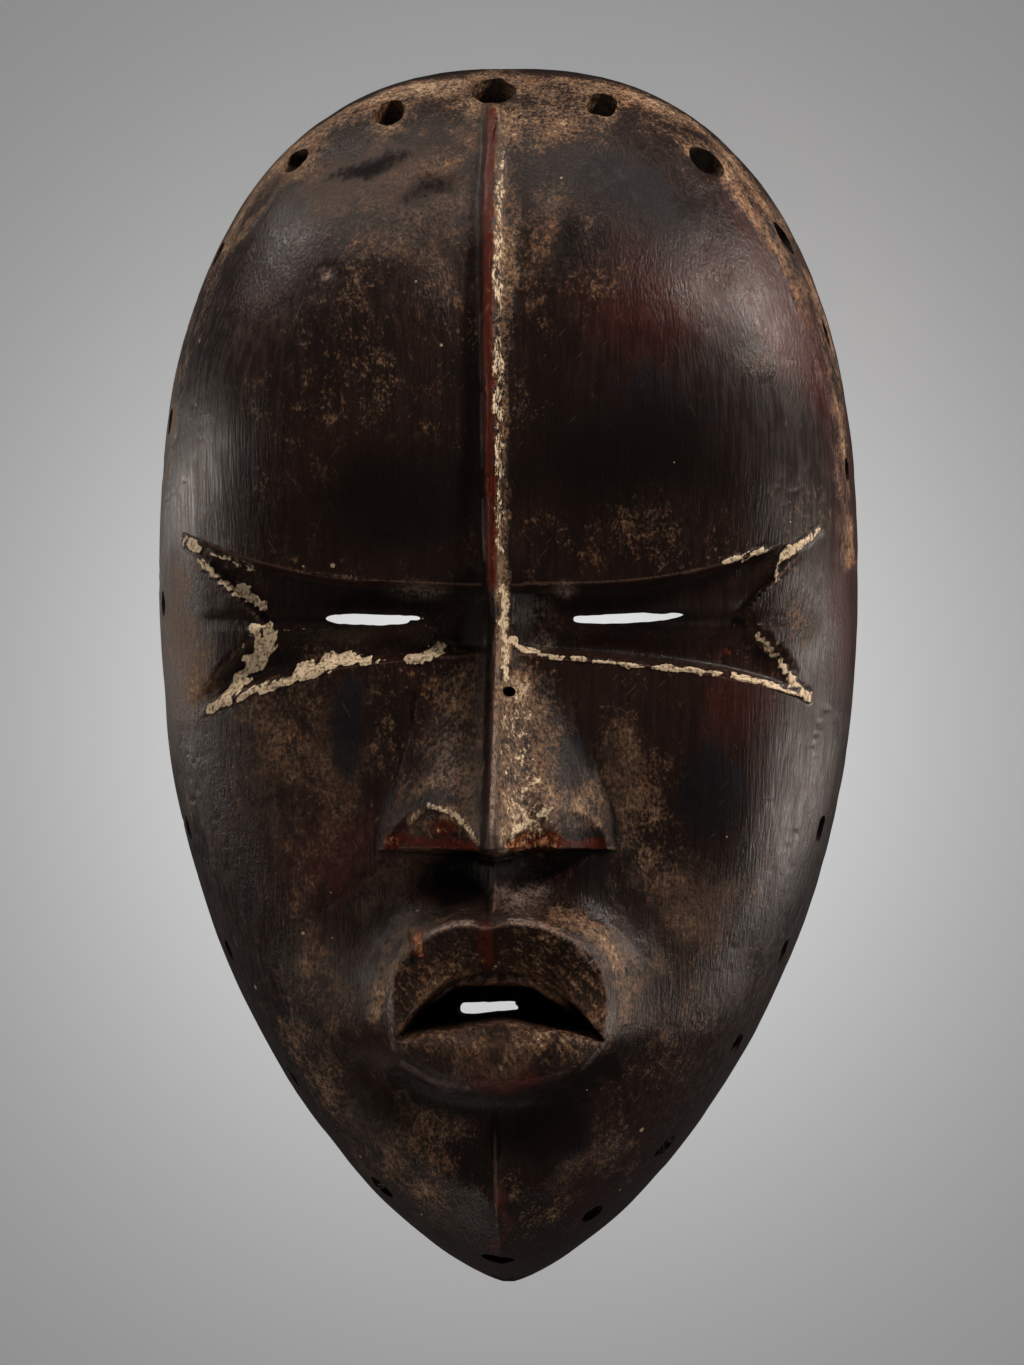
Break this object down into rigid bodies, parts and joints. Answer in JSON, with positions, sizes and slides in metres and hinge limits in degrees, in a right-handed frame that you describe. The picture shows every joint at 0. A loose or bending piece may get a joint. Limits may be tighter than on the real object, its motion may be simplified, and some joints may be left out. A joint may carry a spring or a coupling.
{
  "type": "dan mask",
  "caption": "Carved wooden face mask with a ridged forehead, narrow slit eyes, pointed chin, parted lips and a hollow back with holes round its rim",
  "frame": {"origin": "middle of the outline on the plane of the flat back rim, which the mask lies on", "axes": "+X is the viewer's right across the face, +Y runs from the chin to the forehead, +Z points out of the face"},
  "size_m": [0.1382, 0.2402, 0.0708],
  "materials": {
    "patinated_wood": "dark brown to black handled patina, semi-gloss, with rubbed red-brown crests, tan dust in the grain and pale crust in the cuts round the eyes"
  },
  "bodies": {
    "root": {"mask": "patinated_wood"}
  },
  "joints": []
}
